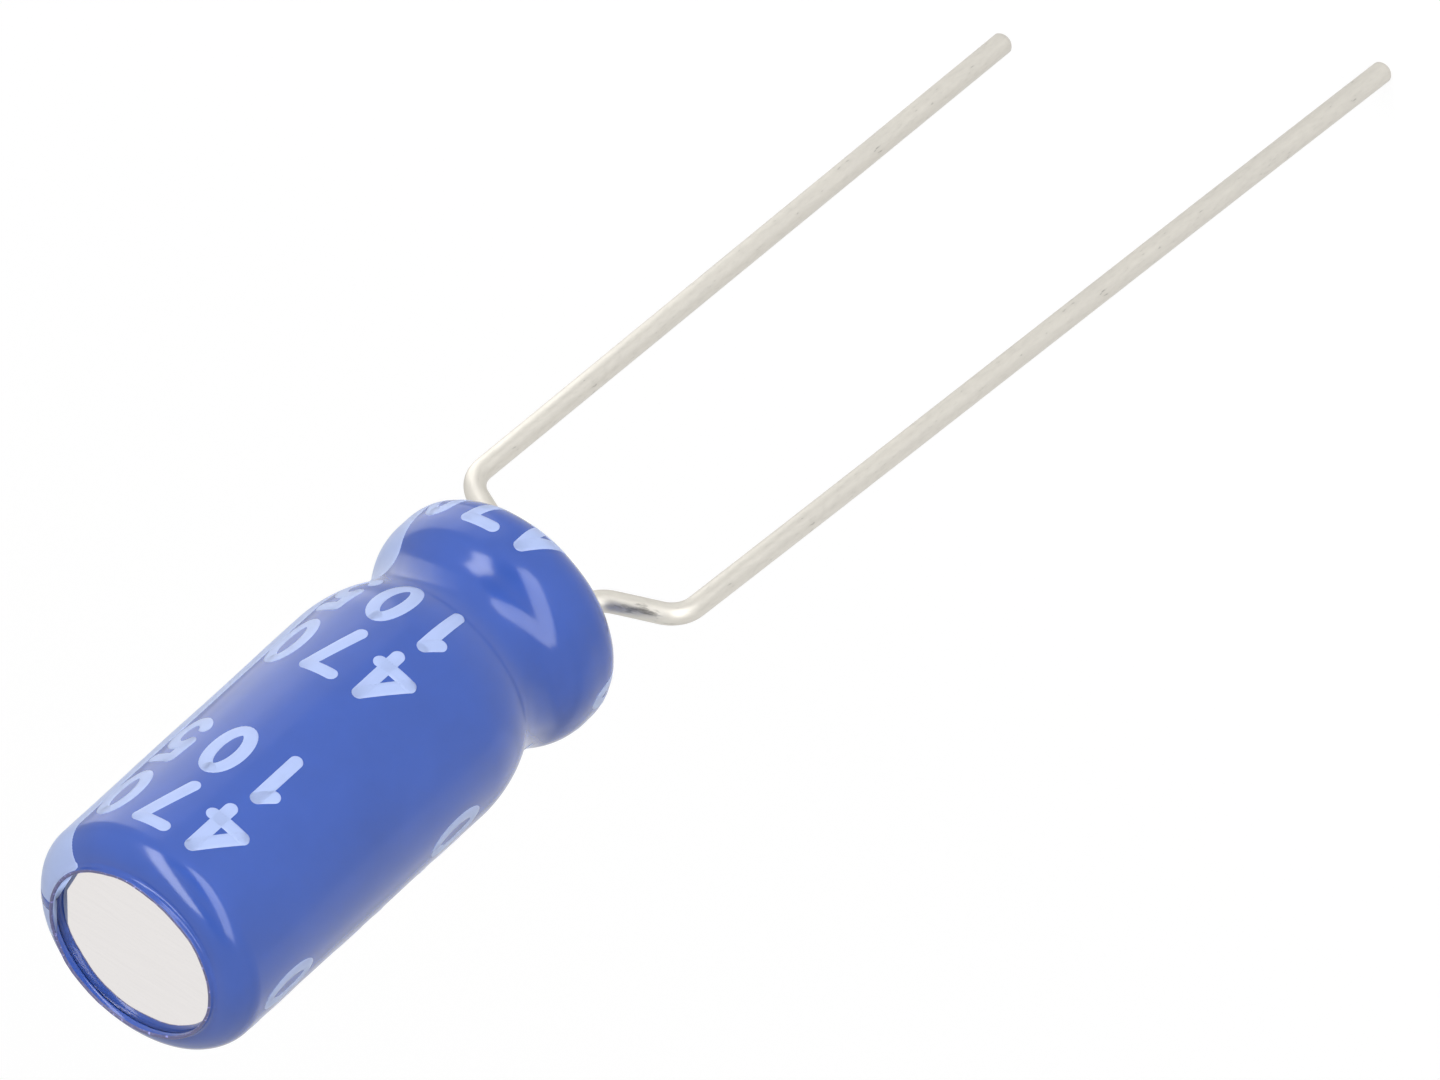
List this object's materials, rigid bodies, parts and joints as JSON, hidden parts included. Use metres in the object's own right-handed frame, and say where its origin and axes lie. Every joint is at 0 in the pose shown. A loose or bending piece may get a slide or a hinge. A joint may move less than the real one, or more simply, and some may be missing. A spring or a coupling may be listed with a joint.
{
  "type": "aluminium electrolytic capacitor",
  "caption": "Upright cylindrical capacitor in a printed blue shrink sleeve, with a bare closed end, a rolled bead and formed wire leads for soldering into a board.",
  "frame": {"origin": "on the body's axis, in the seat plane under the sleeve's rim at the lead end", "axes": "+Z along the body's axis from the leads up to the bare closed end, +X from the long positive lead to the short negative lead, -Y towards the printed front"},
  "size_m": [0.0072, 0.0052, 0.0344],
  "materials": {
    "sleeve_film": "glossy printed shrink film",
    "can_aluminium": "satin",
    "seal_rubber": "matt",
    "winding_paper": "soaked paper and foil edges",
    "tape_film": "semi-gloss",
    "tab_aluminium": "satin",
    "tinned_wire": "tin plated"
  },
  "bodies": {
    "root": {"sleeve": "sleeve_film", "can": "can_aluminium", "end_seal": "seal_rubber", "winding": "winding_paper", "fixing_tape": "tape_film", "anode_tab": "tab_aluminium", "cathode_tab": "tab_aluminium", "anode_lead": "tinned_wire", "cathode_lead": "tinned_wire"}
  },
  "joints": []
}
